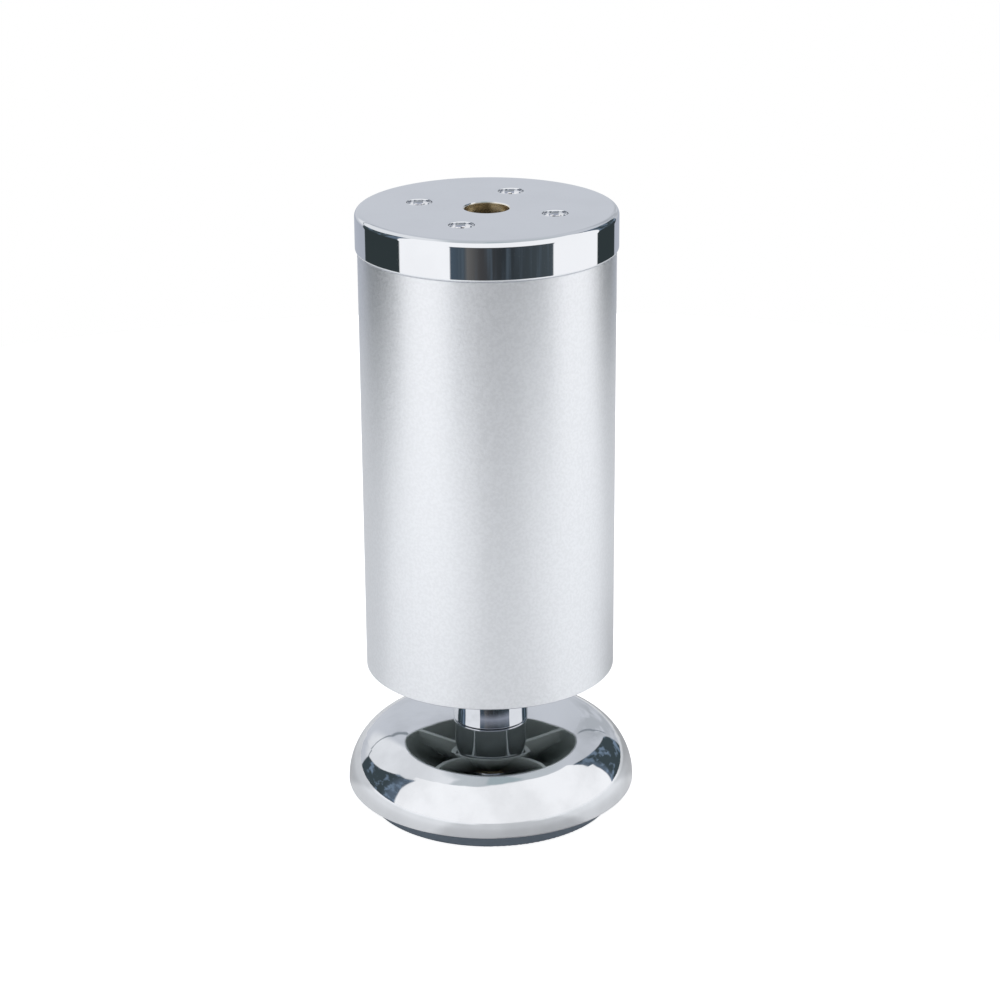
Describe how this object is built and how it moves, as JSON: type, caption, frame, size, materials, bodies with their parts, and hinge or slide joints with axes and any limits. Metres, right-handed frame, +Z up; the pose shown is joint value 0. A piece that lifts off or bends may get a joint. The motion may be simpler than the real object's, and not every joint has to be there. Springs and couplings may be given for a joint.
{
  "type": "furniture leg",
  "caption": "Round adjustable furniture leg: extruded tube, screwed-on cap with a central bolt thread, and a domed foot that screws in and out on a covered spindle.",
  "frame": {"origin": "centre of the pad's underside, on the floor under the leg's axis", "axes": "+Z up along the leg's axis, towards the cap; -Y is the side that the picture faces"},
  "size_m": [0.07, 0.07, 0.1487],
  "materials": {
    "chrome": "mirror-bright chrome plating",
    "anodised_aluminium": "fine satin silver anodising",
    "screw_steel": "bright nickel-plated steel",
    "zinc_steel": "yellow-passivated zinc plating",
    "spindle_steel": "zinc-plated steel",
    "pad_rubber": "matt blue-grey rubber"
  },
  "bodies": {
    "leg": {"tube": "anodised_aluminium", "top_cap": "chrome", "cap_screws": "screw_steel", "nut_plate": "zinc_steel", "spindle_nut": "zinc_steel"},
    "sleeve": {"cover_sleeve": "chrome"},
    "levelling_foot": {"foot": "chrome", "foot_pad": "pad_rubber", "spindle": "spindle_steel"}
  },
  "joints": [
    {"name": "foot_travel", "type": "slide", "parent": "leg", "child": "sleeve", "axis": [0, 0, 1], "range_m": [-0.012, 0.012]},
    {"name": "foot_turn", "type": "hinge", "parent": "sleeve", "child": "levelling_foot", "pos_m": [0, 0, 0], "axis": [0, 0, 1], "range_deg": [-2880, 2880]}
  ],
  "couplings": [
    {"joint": "foot_turn", "follows": "foot_travel", "rad_per_m": 4188.8}
  ]
}
